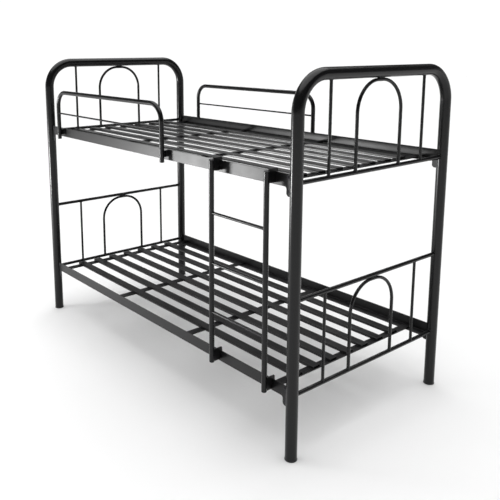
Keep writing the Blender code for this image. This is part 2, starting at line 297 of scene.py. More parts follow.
def new_material(name):
    """A material's net."""
    return Net(bpy.data.materials.new(name))


def rgb(values):
    """A colour setting as four numbers."""
    return (*values, 1.0)


# ------------------------------------------------------------------ materials
def powder_coat(name, roughness, streak=None, wave=0.0):
    """Black powder coat: orange peel, faint clouding, settled dust, and rub marks along a given streak."""
    coat = bpy.context.scene.bed_coat
    net = new_material(name)
    peel = net.noise(420.0, 2.0, 0.45)
    cloud = net.noise(9.0, 4.0, 0.6)
    grit = net.noise(1300.0, 1.0, 0.5)
    speck = net.noise(260.0, 2.0, 0.7).between(0.62, 0.74)
    dust = net.upward() * (cloud.between(0.30, 0.75) * 0.7 + speck * 0.3) * coat.dustiness
    rough = roughness + (cloud - 0.5) * 0.10 + dust * 0.5 + (grit - 0.5) * 0.04
    if streak is not None:
        rub = net.noise(30.0, 3.0, 0.6, streak).between(0.50, 0.72)
        rough = rough + rub * 0.07
        dust = dust * (1.0 - rub * 0.6)
    surface = net.bump(peel, coat.peel, 0.0006)
    if wave > 0:
        surface = net.bump(net.noise(14.0, 1.0, 0.4), wave, 0.004, surface)
    body = net.mix(dust, rgb(coat.coat), rgb(coat.dust))
    return net.finish(Base_Color=body, Roughness=rough, Normal=surface, Specular_IOR_Level=coat.shine)


def tube_coat():
    """The gloss coat on the round tubes."""
    return powder_coat("gloss_tube_coat", bpy.context.scene.bed_coat.gloss)


def plate_coat():
    """The duller coat on rolled angle and cut plate, whose faces are a little uneven."""
    return powder_coat("rolled_plate_coat", bpy.context.scene.bed_coat.rolled, wave=0.05)


def slat_coat():
    """The satin coat on the slats, rubbed lengthwise by the mattress."""
    return powder_coat("satin_slat_coat", bpy.context.scene.bed_coat.satin, (0.05, 1.0, 1.0), wave=0.03)


def weld_coat():
    """The coat over weld beads, with a little spatter under it."""
    coat = bpy.context.scene.bed_coat
    net = new_material("weld_coat")
    lump = net.noise(700.0, 3.0, 0.6)
    grime = net.noise(160.0, 3.0, 0.6).between(0.45, 0.70)
    body = net.mix(grime * 0.25, rgb(coat.coat), rgb(coat.dust))
    rough = coat.gloss + 0.08 + grime * 0.18
    surface = net.bump(lump, 0.35, 0.0006)
    return net.finish(Base_Color=body, Roughness=rough, Normal=surface, Specular_IOR_Level=coat.shine)


def cap_plastic():
    """Moulded black plastic with a fine grain and scuffs."""
    coat = bpy.context.scene.bed_coat
    net = new_material("cap_plastic")
    grain = net.noise(2200.0, 2.0, 0.6)
    scuff = net.noise(90.0, 4.0, 0.7, (1.0, 1.0, 0.25)).between(0.55, 0.72)
    body = net.mix(scuff * 0.35, rgb(coat.plastic), rgb(coat.dust))
    rough = 0.46 + scuff * 0.16 + (grain - 0.5) * 0.08
    return net.finish(Base_Color=body, Roughness=rough, Normal=net.bump(grain, 0.30, 0.0003))


def bolt_steel():
    """Blackened steel, bright where a key has rubbed it."""
    coat = bpy.context.scene.bed_coat
    net = new_material("bolt_steel")
    rub = net.noise(420.0, 3.0, 0.6).between(0.56, 0.70)
    cloud = net.noise(70.0, 3.0, 0.6)
    body = net.mix(rub * 0.4, rgb(coat.bolt), (0.12, 0.12, 0.125, 1.0))
    rough = 0.34 + cloud * 0.16 - rub * 0.08
    return net.finish(Base_Color=body, Roughness=rough, Metallic=0.8, Normal=net.bump(cloud, 0.15, 0.0004))


def floor_paint():
    """A pale matt floor with the faintest unevenness."""
    net = new_material("floor_paint")
    cloud = net.noise(0.8, 3.0, 0.5)
    grain = net.noise(60.0, 2.0, 0.5)
    base = bpy.context.scene.bed_studio.floor
    body = net.mix(cloud * 0.25, rgb(base), rgb([part * 0.985 for part in base]))
    return net.finish(Base_Color=body, Roughness=0.75 + grain * 0.1, Normal=net.bump(grain, 0.05, 0.001),
                      Specular_IOR_Level=0.1)


MATERIAL_MAKERS = {
    "tube": tube_coat, "plate": plate_coat, "slat": slat_coat, "weld": weld_coat,
    "plastic": cap_plastic, "bolt": bolt_steel, "floor": floor_paint,
}
made_materials = {}


def finish_of(kind):
    """The material of a kind, made when it is first asked for."""
    if kind not in made_materials:
        made_materials[kind] = MATERIAL_MAKERS[kind]()
    return made_materials[kind]


# ------------------------------------------------------------------ surfaces
class Skin:
    """Collects grids and faces, and turns them into one closed mesh object."""

    def __init__(self):
        self.points = []
        self.faces = []
        self.count = 0

    def grid(self, rings):
        """Add rings of points, an array of rows by columns by 3; each ring closes on itself."""
        rows, columns = rings.shape[:2]
        row = np.arange(rows - 1)[:, None] * columns
        here = np.arange(columns)[None, :]
        following = (here + 1) % columns
        above = row + columns
        quads = np.stack([row + here, row + following, above + following, above + here], axis=-1)
        self.faces += (quads.reshape(-1, 4) + self.count).tolist()
        self.points.append(rings.reshape(-1, 3))
        self.count += rows * columns

    def capped(self, rings):
        """Add rings whose first and last are closed by one flat face each."""
        rows, columns = rings.shape[:2]
        start = self.count
        self.grid(rings)
        last = start + (rows - 1) * columns
        self.faces.append(list(range(start + columns - 1, start - 1, -1)))
        self.faces.append(list(range(last, last + columns)))

    def build(self, name, kind, body="bed", replaces=()):
        """Make the object: doubles merged, faces outwards, smooth with crisp edges, riding on its body."""
        mesh = bpy.data.meshes.new(name)
        mesh.from_pydata(np.concatenate(self.points), [], self.faces)
        work = bmesh.new()
        work.from_mesh(mesh)
        bmesh.ops.remove_doubles(work, verts=work.verts, dist=MERGE_DISTANCE)
        bmesh.ops.recalc_face_normals(work, faces=work.faces)
        work.to_mesh(mesh)
        work.free()
        mesh.shade_smooth()
        mesh.set_sharp_from_angle(angle=CREASE)
        mesh.materials.append(finish_of(kind))
        piece = bpy.data.objects.new(name, mesh)
        bpy.context.scene.collection.objects.link(piece)
        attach(piece, body)
        if replaces:
            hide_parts(*replaces)
        return piece


def arc(centre, radius, start, end, steps):
    """Points at equal angles on a circle in a plane, from start to end in degrees."""
    angle = np.radians(np.linspace(start, end, steps + 1))
    return np.stack([centre[0] + radius * np.cos(angle), centre[1] + radius * np.sin(angle)], axis=-1)


def bent_u(span, low, top, bend, steps):
    """The centre line of an upside-down U: two legs, two quarter circles and the bar between them."""
    half = span / 2
    left = arc((bend - half, top - bend), bend, 180, 90, steps)
    right = arc((half - bend, top - bend), bend, 90, 0, steps)
    return np.concatenate([[(-half, low)], left, right, [(half, low)]])


def in_space(flat, origin, across, up):
    """Points of a plane put in space: origin + u across + v up."""
    return np.asarray(origin) + flat[..., 0:1] * across + flat[..., 1:2] * up


def tube_rings(path, radius, sides, closing=6):
    """A round tube along a planar path.  Ring: P + r (cos a N + sin a B), where N is square to the path's
    plane and B to the path and N.  The ends close flat, by rings of radius r cos b."""
    path = np.asarray(path, float)
    tangent = np.gradient(path, axis=0)
    tangent[0] = path[1] - path[0]
    tangent[-1] = path[-1] - path[-2]
    tangent /= np.linalg.norm(tangent, axis=1)[:, None]
    turn = np.cross(tangent[0], tangent[len(path) // 4]) if len(path) > 3 else np.zeros(3)
    if np.linalg.norm(turn) < 1e-6:
        turn = np.cross(tangent[0], OFF_AXIS)
    normal = turn / np.linalg.norm(turn)
    fall = radius * np.cos(np.linspace(0, math.pi / 2, closing + 1)[1:])
    radii = np.concatenate([fall[::-1], np.full(len(path), radius), fall])
    both_ends = ((closing, closing), (0, 0))
    centre = np.pad(path, both_ends, mode="edge")
    side = np.cross(np.pad(tangent, both_ends, mode="edge"), normal)
    angle = np.linspace(0, 2 * math.pi, sides, endpoint=False)[None, :, None]
    ring = np.cos(angle) * normal + np.sin(angle) * side[:, None, :]
    return centre[:, None, :] + radii[:, None, None] * ring


def add_tube(skin, path, radius):
    """Put a tube on a skin, with as many sides as its thickness deserves."""
    sides = max(FEWEST_SIDES, int(shape().tube_sides * min(1.0, radius / FULL_SIDES_RADIUS)))
    skin.grid(tube_rings(path, radius, sides))


def inset(outline, amount):
    """A closed outline moved inwards: each point goes along the mean of its edges' normals, longer at a
    corner."""
    before = outline - np.roll(outline, 1, axis=0)
    after = np.roll(outline, -1, axis=0) - outline
    before /= np.linalg.norm(before, axis=1)[:, None]
    after /= np.linalg.norm(after, axis=1)[:, None]
    normal = np.stack([-(before + after)[:, 1], (before + after)[:, 0]], axis=-1)
    normal /= np.linalg.norm(normal, axis=1)[:, None]
    miter = np.maximum(0.5, normal[:, 0] * -before[:, 1] + normal[:, 1] * before[:, 0])
    return outline + normal * (amount / miter)[:, None]


def slab_rings(outline, thickness, edge, origin, across, up, steps=3):
    """A plate: a closed outline, anticlockwise, given a thickness with quarter-round edges.
    Ring: the outline inset by e (1 - cos b) at height t/2 - e (1 - sin b), mirrored for the other face."""
    out = np.cross(across, up)
    sweep = np.linspace(0, math.pi / 2, steps + 1)
    insets = np.concatenate([edge * (1 - np.cos(sweep)), [edge * 1.5]])
    heights = np.concatenate([thickness / 2 - edge * (1 - np.sin(sweep)), [thickness / 2]])
    rings = [in_space(inset(outline, step), origin, across, up) for step in insets]
    top = np.stack([ring + out * height for ring, height in zip(rings, heights)])
    bottom = np.stack([ring - out * height for ring, height in zip(rings, heights)])
    return np.concatenate([bottom[::-1], top])


def rounded_box(width, depth, corner, steps=4):
    """A rectangle's outline with round corners, anticlockwise about its middle."""
    u, v = width / 2 - corner, depth / 2 - corner
    corners = [((u, v), 0), ((-u, v), 90), ((-u, -v), 180), ((u, -v), 270)]
    return np.concatenate([arc(centre, corner, start, start + 90, steps) for centre, start in corners])


def turned_rings(profile, origin, axis, sides=36):
    """A turned piece: a profile of (radius, height) pairs carried round an axis."""
    guide = X_AXIS if abs(axis[0]) < 0.5 else Y_AXIS
    first = np.cross(axis, guide)
    first /= np.linalg.norm(first)
    second = np.cross(axis, first)
    angle = np.linspace(0, 2 * math.pi, sides, endpoint=False)[None, :, None]
    profile = np.asarray(profile, float)
    radius, height = profile[:, 0][:, None, None], profile[:, 1][:, None, None]
    return np.asarray(origin) + radius * (np.cos(angle) * first + np.sin(angle) * second) + height * axis


def weld_ring(skin, middle, axis, main_axis, small, main, size):
    """The bead round a tube that meets a thicker one squarely.  Its line is the meeting curve of the two
    cylinders, sqrt(R^2 - (r sin t)^2) along the axis, and its radius ripples with each stroke."""
    axis, main_axis = np.asarray(axis, float), np.asarray(main_axis, float)
    third = np.cross(axis, main_axis)
    turns = 64
    t = np.linspace(0, 2 * math.pi, turns, endpoint=False)
    reach = np.sqrt(np.maximum(main**2 - (small * np.sin(t)) ** 2, 0.0))
    outward = np.cos(t)[:, None] * main_axis + np.sin(t)[:, None] * third
    line = np.asarray(middle) + reach[:, None] * axis + small * outward
    strokes = max(8, int(2 * math.pi * small / RING_STROKE))
    bead = size * (1.0 + 0.16 * np.abs(np.sin(t * strokes / 2)) + 0.10 * np.sin(t * 3 + main * 900))
    a = np.linspace(0, 2 * math.pi, 9, endpoint=False)[:, None, None]
    ring = np.cos(a) * outward[None] + np.sin(a) * axis
    rings = line[None] + bead[None, :, None] * ring
    skin.grid(np.concatenate([rings, rings[:1]]))


def weld_line(skin, start, end, size, sides=10, rows=28):
    """A short bead along a straight seam: a rippled spindle of radius s (1 - (2t - 1)^8) (1 + ripple)."""
    start, end = np.asarray(start, float), np.asarray(end, float)
    along = end - start
    run = np.linalg.norm(along)
    along /= run
    t = np.linspace(0, 1, rows)
    fade = np.clip(1 - (2 * t - 1) ** 8, 0, 1) ** 0.5
    bead = size * fade * (1.0 + 0.18 * np.abs(np.sin(t * run / LINE_STROKE * math.pi / 2)))
    first = np.cross(along, OFF_AXIS)
    first /= np.linalg.norm(first)
    second = np.cross(along, first)
    a = np.linspace(0, 2 * math.pi, sides, endpoint=False)[None, :, None]
    ring = np.cos(a) * first + np.sin(a) * second
    line = start + t[:, None] * along * run
    skin.grid(line[:, None, :] + bead[:, None, None] * ring)


# ------------------------------------------------------------------ places from the frame
def corners(node):
    """A node's lowest and highest corner."""
    low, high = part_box(node)
    return np.array(low), np.array(high)


def middle_of(node):
    """The middle of a node's box."""
    low, high = corners(node)
    return (low + high) / 2


def hoop_place(side):
    """An end hoop's plane, its tube's radius, how far its posts are from the middle, and its top's height."""
    low, high = corners(side + "_end_hoop")
    radius = (high[0] - low[0]) / 2
    return (low[0] + high[0]) / 2, radius, high[1] - radius, high[2] - radius


def rail_place(level, flank):
    """A side rail's outer face, underside, top and half length."""
    low, high = corners(f"{level}_{flank}_rail")
    top = high[2]
    return FLANKS[flank] * max(abs(low[1]), abs(high[1])), top - shape().rail_height, top, high[0]


def guard_place(flank):
    """A guard's middle, plane, tube radius, leg spacing, foot and top bar's height."""
    low, high = corners(flank + "_guard_rail")
    foot_low, foot_high = corners("ladder_stile_left")
    radius = (foot_high[0] - foot_low[0]) / 2
    plane = FLANKS[flank] * (max(abs(low[1]), abs(high[1])) - radius)
    return (low[0] + high[0]) / 2, plane, radius, high[0] - low[0] - 2 * radius, low[2], high[2] - radius


# ------------------------------------------------------------------ operators: end frames
class BED_OT_end_hoops(Operator):
    """Build the two end hoops, each one bent tube, and the plastic feet under their posts"""

    bl_idname = "bed.end_hoops"
    bl_label = "End hoops"

    def execute(self, context):
        s = shape()
        feet = Skin()
        for side in SIDES:
            x, radius, post_y, top = hoop_place(side)
            line = bent_u(2 * post_y, s.plug_height * 0.7, top, s.hoop_bend, s.bend_steps)
            skin = Skin()
            add_tube(skin, in_space(line, (x, 0, 0), Y_AXIS, Z_AXIS), radius)
            skin.build(side + "_hoop_tube", "tube", replaces=[side + "_end_hoop"])
            for sign in FLANKS.values():
                add_foot(feet, (x, sign * post_y, 0), radius)
        feet.build("floor_plugs", "plastic")
        return {"FINISHED"}


def add_foot(skin, place, radius):
    """A plastic foot: a low disc a little wider than the post, round at its rim."""
    s = shape()
    wide, high = radius + s.plug_overhang, s.plug_height
    rim = arc((wide - s.plug_round, s.plug_round), s.plug_round, -90, 0, 4)
    brow = arc((wide - s.plug_brow, high - s.plug_brow), s.plug_brow, 0, 90, 3)
    profile = np.concatenate([[(0, 0)], rim, brow, [(0, high)]])
    skin.grid(turned_rings(profile, place, Z_AXIS))


class BED_OT_end_infill(Operator):
    """Build the crossbars, arches and spindles that fill the two end frames"""

    bl_idname = "bed.end_infill"
    bl_label = "End infill"

    def execute(self, context):
        for side in SIDES:
            bars = ["lower_crossbar", "headboard_bar", "upper_crossbar"]
            spindles = [f"{level}_spindle_{flank}" for level in LEVELS for flank in FLANKS]
            for part in bars + spindles:
                straight_bar(f"{side}_{part}")
            for level in LEVELS:
                infill_arch(side, level)
        return {"FINISHED"}


def straight_bar(node, body="bed"):
    """A straight round bar along its node's longest side, running a little into what it is welded to."""
    low, high = corners(node)
    size = high - low
    way = int(np.argmax(size))
    radius = np.max(np.delete(size, way)) / 2
    start, end = (low + high) / 2, (low + high) / 2
    start[way], end[way] = low[way] - shape().tube_bite, high[way] + shape().tube_bite
    skin = Skin()
    add_tube(skin, [start, end], radius)
    skin.build(node + "_tube", "tube", body, [node])


def infill_arch(side, level):
    """An arch: one thin tube bent to a U, standing on a crossbar and touching the tube above."""
    s = shape()
    node = f"{side}_{level}_arch"
    low, high = corners(node)
    radius = (high[0] - low[0]) / 2
    span = high[1] - low[1] - 2 * radius
    line = bent_u(span, low[2] - s.tube_bite, high[2] - radius, s.arch_bend, s.bend_steps)
    skin = Skin()
    add_tube(skin, in_space(line, ((low[0] + high[0]) / 2, 0, 0), Y_AXIS, Z_AXIS), radius)
    skin.build(node + "_tube", "tube", replaces=[node])


# ------------------------------------------------------------------ operators: decks
class BED_OT_side_rails(Operator):
    """Build the four angle-section side rails with their gussets"""

    bl_idname = "bed.side_rails"
    bl_label = "Side rails"

    def execute(self, context):
        for level in LEVELS:
            for flank in FLANKS:
                side_rail(level, flank)
        return {"FINISHED"}


def rail_outline(half, drop):
    """A rail's upright leg seen from the front, anticlockwise, with an S-curved gusset below each end."""
    s = shape()
    inner = half - s.gusset_width
    fillet = arc((inner - s.gusset_fillet, -s.gusset_fillet), s.gusset_fillet, 90, 0, 10)
    foot = arc((inner + s.gusset_round, s.gusset_round - drop), s.gusset_round, 180, 270, 10)
    right = np.concatenate([fillet, foot, [(half, -drop), (half, s.rail_height)]])
    return np.concatenate([right, right[::-1] * (-1, 1)])


def flange_outline():
    """The lying leg's section with the round root of the angle, about the rail's outer lower corner; u runs
    inwards."""
    s = shape()
    wall, root, toe = s.rail_wall, s.rail_root, s.flange_toe
    low, high = corners("lower_front_rail")
    width = high[1] - low[1]
    inside_leg = wall * 0.4
    edge = arc((width - toe, wall - toe), toe, 0, 90, 4)
    hollow = arc((wall + root, wall + root), root, 270, 180, 6)
    heel = [(inside_leg, LEG_LIFT), (width - toe / 4, LEG_LIFT)]
    return np.concatenate([heel, edge, hollow, [(inside_leg, wall + root)]])


def side_rail(level, flank):
    """One rail: an upright leg with gussets, and a lying leg that stops short of the posts."""
    s = shape()
    sign = FLANKS[flank]
    node = f"{level}_{flank}_rail"
    face, under, _, half = rail_place(level, flank)
    drop = under - corners(node)[0][2]
    skin = Skin()
    place = (0, face - sign * s.rail_wall / 2, under)
    upright = slab_rings(rail_outline(half, drop), s.rail_wall, s.edge_round, place, X_AXIS * -sign, Z_AXIS)
    skin.capped(upright)
    section = flange_outline()
    reach = hoop_place("right")[0] - s.flange_from_post
    stations = np.linspace(-reach, reach, 3)
    rings = [in_space(section, (x, face, under), Y_AXIS * -sign, Z_AXIS) for x in stations]
    skin.capped(np.stack(rings))
    skin.build(node + "_angle", "plate", replaces=[node])


class BED_OT_decks(Operator):
    """Build the slats of both decks and the bars that they are welded to"""

    bl_idname = "bed.decks"
    bl_label = "Decks"

    def execute(self, context):
        slats = [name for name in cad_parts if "_slat_" in name]
        for order, node in enumerate(sorted(slats)):
            folded_slat(node, order)
        for node in sorted(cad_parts):
            if "_end_bar_" in node or "_cross_bearer_" in node:
                deck_bar(node)
        return {"FINISHED"}


def slat_section(width, height):
    """A slat's section: a strip folded down along both edges, with a small radius at every corner."""
    s = shape()
    half, fold, wall = width / 2, s.slat_fold, s.slat_wall
    hollow = fold - wall
    outer = arc((half - fold, height - fold), fold, 0, 90, 6)
    inner = arc((half - fold, height - fold), hollow, 90, 0, 4)
    lip = arc((half - wall / 2, wall / 2), wall / 2, -180, 0, 6)
    right = np.concatenate([lip, outer, [(half - fold - 0.0006, height)]])
    left = right[::-1] * (-1, 1)
    return np.concatenate([right, left, inner[::-1] * (-1, 1), inner])


def folded_slat(node, order):
    """A slat: its section carried along the bed, straying from straight by a sum of slow sines."""
    s = shape()
    low, high = corners(node)
    section = slat_section(high[1] - low[1], high[2] - low[2])
    x = np.linspace(low[0], high[0], 49)
    phase = order * 1.7
    stray = s.slat_wave * (0.6 * np.sin(x * 5.1 + phase) + 0.4 * np.sin(x * 11.7 + phase * 2.3))
    sway = s.slat_wave * 0.8 * np.sin(x * 4.3 + phase * 1.9)
    middle = (low[1] + high[1]) / 2
    rings = np.empty((len(x), len(section), 3))
    rings[..., 0] = x[:, None]
    rings[..., 1] = middle + section[None, :, 0] + sway[:, None]
    rings[..., 2] = low[2] + section[None, :, 1] + stray[:, None]
    skin = Skin()
    skin.capped(rings)
    skin.build(node + "_strip", "slat", replaces=[node])


def deck_bar(node):
    """A flat bar across the deck, its edges rolled round."""
    low, high = corners(node)
    size, centre = high - low, (low + high) / 2
    skin = Skin()
    outline = rounded_box(size[0], size[1], CUT_ROUND, 2)
    skin.capped(slab_rings(outline, size[2], shape().edge_round * 1.6, centre, X_AXIS, Y_AXIS))
    skin.build(node + "_flat", "slat", replaces=[node])


# ------------------------------------------------------------------ operators: guards
class BED_OT_guards(Operator):
    """Build the two guards of the upper deck, with their rods, tabs and end caps"""

    bl_idname = "bed.guards"
    bl_label = "Guards"

    def execute(self, context):
        s = shape()
        caps = Skin()
        for flank, sign in FLANKS.items():
            x, y, radius, span, foot, top = guard_place(flank)
            skin = Skin()
            line = bent_u(span, foot, top, s.guard_bend, s.bend_steps)
            add_tube(skin, in_space(line, (x, y, 0), X_AXIS, Z_AXIS), radius)
            face, under, _, _ = rail_place("upper", flank)
            for way in SIDES.values():
                add_tab(skin, x + way * span / 2, y - sign * radius * 0.8, face, under)
                add_cap(caps, (x + way * span / 2, y, foot), radius, -Z_AXIS)
            skin.build(flank + "_guard_tube", "tube", replaces=[flank + "_guard_rail"])
            straight_bar(flank + "_guard_mid_rod")
        caps.build("guard_caps", "plastic")
        return {"FINISHED"}


def add_tab(skin, x, start, face, under):
    """A tab between a guard's leg and the rail's face."""
    s = shape()
    outline = rounded_box(abs(start - face), s.tab_height, s.tab_height / 10)
    place = (x, (start + face) / 2, under + s.tab_rise)
    skin.capped(slab_rings(outline, s.tab_wall, CUT_ROUND, place, Y_AXIS, Z_AXIS))


def add_cap(skin, place, radius, axis):
    """A plastic cap in a tube's end: a thin rim as wide as the tube, and a low dome."""
    s = shape()
    bead, stem = s.cap_rim, s.cap_stem
    rim = arc((radius - bead, bead), bead, -30, 70, 4)
    reach = np.linspace(radius - 2 * bead, 0, 9)
    rise = 2 * bead + (s.cap_height - 2 * bead) * np.sqrt(1 - (reach / radius) ** 2)
    profile = np.concatenate([[(0, -stem), (radius * 0.94, -stem)], rim, np.stack([reach, rise], axis=-1)])
    skin.grid(turned_rings(profile, place, np.asarray(axis, float)))


# ------------------------------------------------------------------ operators: ladder
class BED_OT_ladder(Operator):
    """Build the ladder: stiles with capped ends, rungs, and hook plates over the rails"""

    bl_idname = "bed.ladder"
    bl_label = "Ladder"

    def execute(self, context):
        caps = Skin()
        for side in SIDES:
            node = "ladder_stile_" + side
            low, high = corners(node)
            centre, radius = (low + high) / 2, (high[0] - low[0]) / 2
            skin = Skin()
            ends = [(centre[0], centre[1], low[2]), (centre[0], centre[1], high[2])]
            add_tube(skin, ends, radius)
            skin.build(node + "_tube", "tube", "ladder", [node])
            for end, axis in zip(ends, (-Z_AXIS, Z_AXIS)):
                add_cap(caps, end, radius, axis)
            for level in LEVELS:
                hook_plate(f"ladder_hook_{level}_{side}", level)
        for node in sorted(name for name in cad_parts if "ladder_rung" in name):
            straight_bar(node, "ladder")
        caps.build("ladder_caps", "plastic", "ladder")
        return {"FINISHED"}


def hook_plate(node, level):
    """A hook seen along the bed: u runs outwards from the rail's middle plane, v up from the rail's top."""
    s = shape()
    low, high = corners(node)
    face, _, top, _ = rail_place(level, "front")
    plane = face + s.rail_wall / 2
    small, inner, into_stile = 0.002, 0.0015, 0.002
    back = plane - low[1] + into_stile
    slot = s.rail_wall / 2 + s.hook_play
    nose = slot + s.hook_nose_wall
    tail, crown, corner = low[2] - top, high[2] - top, s.hook_corner
    brow = arc((back - small, crown - small), small, 0, 90, 4)
    cap = arc((corner - nose, crown - corner), corner, 90, 180, 8)
    tip = arc((corner - nose, corner - s.hook_nose), corner, 180, 270, 8)
    lip = arc((-slot - inner, inner - s.hook_nose), inner, 270, 360, 3)
    inside = [(-slot, s.touch_gap), (slot, s.touch_gap)]
    toe = arc((slot + small, tail + small), small, 180, 270, 4)
    outline = np.concatenate([brow, cap, tip, lip, inside, toe, [(back, tail)]])
    skin = Skin()
    place = ((low[0] + high[0]) / 2, plane, top)
    skin.capped(slab_rings(outline, high[0] - low[0], s.edge_round, place, -Y_AXIS, Z_AXIS))
    skin.build(node + "_plate", "plate", "ladder", [node])


# ------------------------------------------------------------------ operators: trim
class BED_OT_welds(Operator):
    """Run the weld beads round every joint between tubes, bars, rails and slats"""

    bl_idname = "bed.welds"
    bl_label = "Weld beads"

    def execute(self, context):
        for side in SIDES:
            end_frame_welds(side)
        for level in LEVELS:
            deck_welds(level)
        for flank in FLANKS:
            guard_welds(flank)
        ladder_welds()
        return {"FINISHED"}


def end_frame_welds(side):
    """Beads where crossbars meet the posts, and where arches and spindles meet the bars."""
    s = shape()
    x, post, post_y, top = hoop_place(side)
    names = ("lower_crossbar", "headboard_bar", "upper_crossbar")
    bars = {part: middle_of(f"{side}_{part}")[2] for part in names}
    low, high = corners(side + "_lower_crossbar")
    bar = (high[2] - low[2]) / 2
    skin = Skin()
    for height in bars.values():
        for sign in FLANKS.values():
            weld_ring(skin, (x, sign * post_y, height), -sign * Y_AXIS, Z_AXIS, bar, post, s.weld_size)
    panels = {
        "lower": (bars["lower_crossbar"], bars["headboard_bar"], bar),
        "upper": (bars["upper_crossbar"], top, post),
    }
    for level, (floor, roof, roof_radius) in panels.items():
        for flank in FLANKS:
            low, high = corners(f"{side}_{level}_spindle_{flank}")
            y, thin = (low[1] + high[1]) / 2, (high[0] - low[0]) / 2
            weld_ring(skin, (x, y, floor), Z_AXIS, Y_AXIS, thin, bar, s.weld_size * 0.8)
            weld_ring(skin, (x, y, roof), -Z_AXIS, Y_AXIS, thin, roof_radius, s.weld_size * 0.8)
        low, high = corners(f"{side}_{level}_arch")
        thin = (high[0] - low[0]) / 2
        for y in (low[1] + thin, high[1] - thin):
            weld_ring(skin, (x, y, floor), Z_AXIS, Y_AXIS, thin, bar, s.weld_size * 0.85)
        crown, half_seam = high[2] - SEAM_STANDOFF, 0.018
        for edge in (x - 0.0038, x + 0.0038):
            weld_line(skin, (edge, -half_seam, crown), (edge, half_seam, crown), s.weld_size)
    skin.build(side + "_end_welds", "weld")


def deck_welds(level):
    """Short beads along both edges of every slat where it lies on a bar."""
    size = shape().weld_size * 0.7
    lift, short_of_edge = 0.0006, 0.003
    skin = Skin()
    names = sorted(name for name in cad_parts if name.startswith(level))
    bars = [corners(name) for name in names if "_end_bar_" in name or "_bearer_" in name]
    for name in names:
        if "_slat_" not in name:
            continue
        low, high = corners(name)
        for bar_low, bar_high in bars:
            for y, way in ((low[1], -1), (high[1], 1)):
                seam = (y + way * SEAM_STANDOFF, bar_high[2] + lift)
                ends = (bar_low[0] + short_of_edge, *seam), (bar_high[0] - short_of_edge, *seam)
                weld_line(skin, *ends, size, 8, 16)
    skin.build(level + "_deck_welds", "weld")


def guard_welds(flank):
    """Beads at the rod's ends, and along both tabs at the leg and at the rail."""
    s = shape()
    x, y, radius, span, _, _ = guard_place(flank)
    low, high = corners(flank + "_guard_mid_rod")
    rod = max(high[1] - low[1], high[2] - low[2]) / 2
    height = (low[2] + high[2]) / 2
    face, under, _, _ = rail_place("upper", flank)
    sign = FLANKS[flank]
    beside = s.tab_wall / 2 + SEAM_STANDOFF
    middle, half_seam = under + s.tab_rise, s.tab_height / 2 - 0.001
    skin = Skin()
    for way in SIDES.values():
        leg = x + way * span / 2
        weld_ring(skin, (leg, y, height), -way * X_AXIS, Z_AXIS, rod, radius, s.weld_size * 0.7)
        for edge in (leg - beside, leg + beside):
            for seam in (face + sign * SEAM_STANDOFF, y - sign * radius * 0.92):
                ends = (edge, seam, middle - half_seam), (edge, seam, middle + half_seam)
                weld_line(skin, *ends, s.weld_size * 0.9)
    skin.build(flank + "_guard_welds", "weld")


def ladder_welds():
    """Beads at the rungs' ends, and along both sides of each hook plate on its stile."""
    s = shape()
    skin = Skin()
    rungs = [corners(name) for name in sorted(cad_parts) if "ladder_rung" in name]
    rung = (rungs[0][1][2] - rungs[0][0][2]) / 2
    for side, way in SIDES.items():
        low, high = corners("ladder_stile_" + side)
        centre, radius = (low + high) / 2, (high[0] - low[0]) / 2
        for rung_low, rung_high in rungs:
            place = (centre[0], centre[1], (rung_low[2] + rung_high[2]) / 2)
            weld_ring(skin, place, -way * X_AXIS, Z_AXIS, rung, radius, s.weld_size * 0.85)
        for level in LEVELS:
            hook_low, hook_high = corners(f"ladder_hook_{level}_{side}")
            back = centre[1] + radius * 0.94
            for x in (hook_low[0], hook_high[0]):
                ends = (max(hook_low[2], low[2]) + 0.002, min(hook_high[2], high[2]) - 0.002)
                weld_line(skin, (x, back, ends[0]), (x, back, ends[1]), s.weld_size)
    skin.build("ladder_welds", "weld", "ladder")


class BED_OT_bolts(Operator):
    """Fit the bolts that hold the side rails' ends to the posts"""

    bl_idname = "bed.bolts"
    bl_label = "Bolts"

    def execute(self, context):
        s = shape()
        skin = Skin()
        for level in LEVELS:
            for flank, sign in FLANKS.items():
                face, under, top, half = rail_place(level, flank)
                x = half - s.gusset_width / 2
                for way in SIDES.values():
                    for height in (top - s.upper_bolt, under - s.lower_bolt):
                        add_bolt(skin, (way * x, face, height), sign * Y_AXIS)
        skin.build("rail_bolts", "bolt")
        return {"FINISHED"}


def add_bolt(skin, place, axis):
    """A button-head bolt on a washer.  The socket's wall is a hexagon: r = a / cos(t mod 60 - 30 degrees)."""
    s = shape()
    head, dome, thick, edge = s.bolt_head, s.bolt_dome, s.washer_wall, s.washer_edge
    wide = head + s.washer_overhang
    brim = [(wide, edge), (wide, thick - edge), (wide - edge, thick)]
    skin.grid(turned_rings([(0, 0), (wide - edge * 2 / 3, 0), *brim, (0, thick)], place, axis))
    sides = 36
    dome_below_face, seat = 0.0062, 0.0012
    crown = arc((0, -dome_below_face), dome, math.degrees(math.acos(head / dome)), 74, 7)
    rim = [(0, seat), (head, seat)]
    rings = turned_rings(np.concatenate([rim, crown]), place, axis, sides)
    angle = np.linspace(0, 2 * math.pi, sides, endpoint=False)
    hexagon = s.bolt_socket / np.cos(np.mod(angle, math.pi / 3) - math.pi / 6)
    depths = np.array([crown[-1][1], crown[-1][1] - s.socket_depth])
    unit = turned_rings([(1.0, 0.0)], (0, 0, 0), axis, sides)[0]
    walls = np.asarray(place) + hexagon[None, :, None] * unit[None] + depths[:, None, None] * axis
    floor = np.repeat((np.asarray(place) + depths[1] * axis)[None, None, :], sides, axis=1)
    skin.grid(np.concatenate([rings, walls, floor]))


